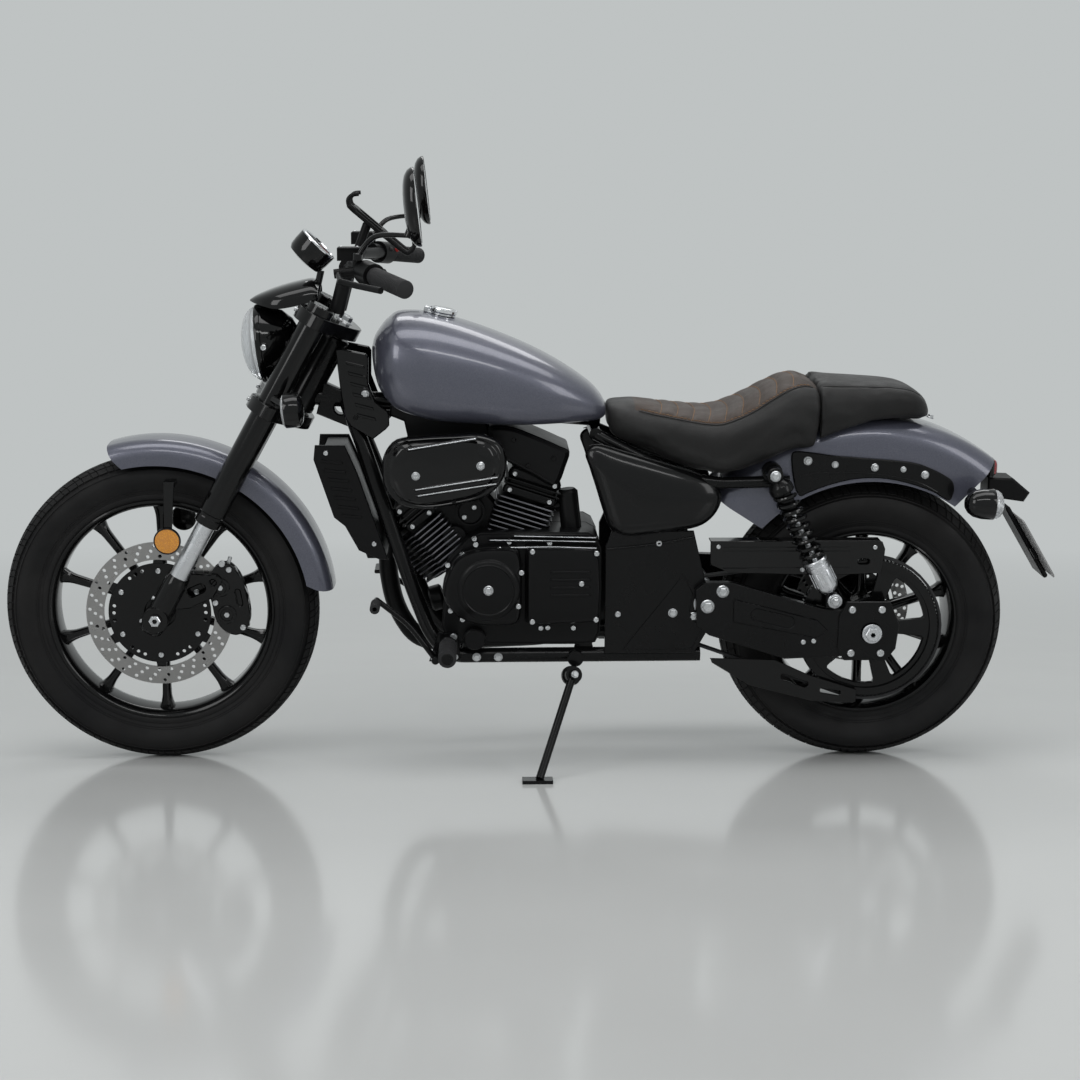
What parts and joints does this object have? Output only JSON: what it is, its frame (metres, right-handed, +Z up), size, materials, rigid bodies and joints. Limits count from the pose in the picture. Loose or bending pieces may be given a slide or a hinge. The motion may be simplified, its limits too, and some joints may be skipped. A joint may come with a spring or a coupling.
{
  "type": "cruiser motorcycle",
  "caption": "Naked cruiser motorcycle with a V-twin engine, teardrop tank, stepped seat and ten-spoke cast wheels, leaning on its side stand.",
  "frame": {"origin": "on the floor, under the middle of the parked bike's bounding box", "axes": "+X from the front wheel to the rear wheel, +Y to the rider's right, +Z up; the bike leans 7 degrees towards -Y onto its side stand"},
  "size_m": [2.1424, 0.8153, 1.2566],
  "materials": {
    "body_paint": "metallic slate grey paint, glossy",
    "frame_black": "satin black powder coat",
    "engine_black": "satin black engine paint",
    "gloss_trim": "gloss black",
    "satin_trim": "satin black moulding",
    "exhaust_black": "heat-proof satin black",
    "fork_black": "gloss black",
    "wheel_black": "gloss black",
    "bright_metal": "satin bright metal",
    "disc_steel": "machined steel",
    "black_rubber": "matt rubber",
    "tyre": "matt tyre rubber",
    "seat_brown": "dark brown grained cover with tan stitching",
    "seat_black": "black grained cover",
    "clear_lens": "clear",
    "lamp_red": "red lens",
    "lamp_amber": "amber reflector"
  },
  "bodies": {
    "chassis": {"backbone": "frame_black", "cradle": "frame_black", "engine_block": "engine_black", "cylinders": "engine_black", "air_cleaner": "gloss_trim", "radiator": "engine_black", "neck_covers": "gloss_trim", "fuel_tank": "body_paint", "filler_neck": "bright_metal", "side_covers": "satin_trim", "rider_seat": "seat_brown", "pillion_seat": "seat_black", "rear_fender": "body_paint", "fender_struts": "frame_black", "rear_lights": "lamp_red", "plate_holder": "satin_trim", "swingarm": "frame_black", "swingarm_spindles": "bright_metal", "shocks": "bright_metal", "belt_guards": "gloss_trim", "drive_belt": "black_rubber", "rear_caliper": "frame_black", "exhaust": "exhaust_black", "foot_controls": "frame_black"},
    "steering": {"fork_tubes": "fork_black", "fork_sliders": "bright_metal", "fork_clamps": "fork_black", "handlebar": "fork_black", "grips": "black_rubber", "hand_controls": "satin_trim", "mirrors": "gloss_trim", "headlight": "gloss_trim", "headlight_lens": "clear_lens", "headlight_visor": "gloss_trim", "speedometer": "gloss_trim", "phone_holder": "satin_trim", "front_signals": "lamp_amber", "front_fender": "body_paint", "front_caliper": "frame_black"},
    "front_wheel": {"front_tyre": "tyre", "front_rim": "wheel_black", "front_disc": "disc_steel"},
    "rear_wheel": {"rear_tyre": "tyre", "rear_rim": "wheel_black", "rear_pulley": "wheel_black", "rear_disc": "disc_steel"},
    "side_stand": {"side_stand": "frame_black"},
    "fuel_cap": {"fuel_cap": "bright_metal"}
  },
  "joints": [
    {"name": "steering", "type": "hinge", "parent": "chassis", "child": "steering", "pos_m": [-0.70869, 0.08678, 0.29412], "axis": [0.4818, -0.1068, 0.8698], "range_deg": [-36, 36]},
    {"name": "front_wheel_spin", "type": "hinge", "parent": "steering", "child": "front_wheel", "pos_m": [-0.7525, 0.08385, 0.31803], "axis": [0, 0.9925, 0.1219], "continuous": true},
    {"name": "rear_wheel_spin", "type": "hinge", "parent": "chassis", "child": "rear_wheel", "pos_m": [0.6875, 0.08689, 0.29321], "axis": [0, 0.9925, 0.1219], "continuous": true},
    {"name": "side_stand_fold", "type": "hinge", "parent": "chassis", "child": "side_stand", "pos_m": [0.0855, -0.05175, 0.19156], "axis": [0.2347, -0.9398, 0.2483], "range_deg": [0, 93]},
    {"name": "fuel_cap_hinge", "type": "hinge", "parent": "chassis", "child": "fuel_cap", "pos_m": [-0.2074, 0.00892, 0.92828], "axis": [0, -0.9925, -0.1219], "range_deg": [0, 80]}
  ]
}
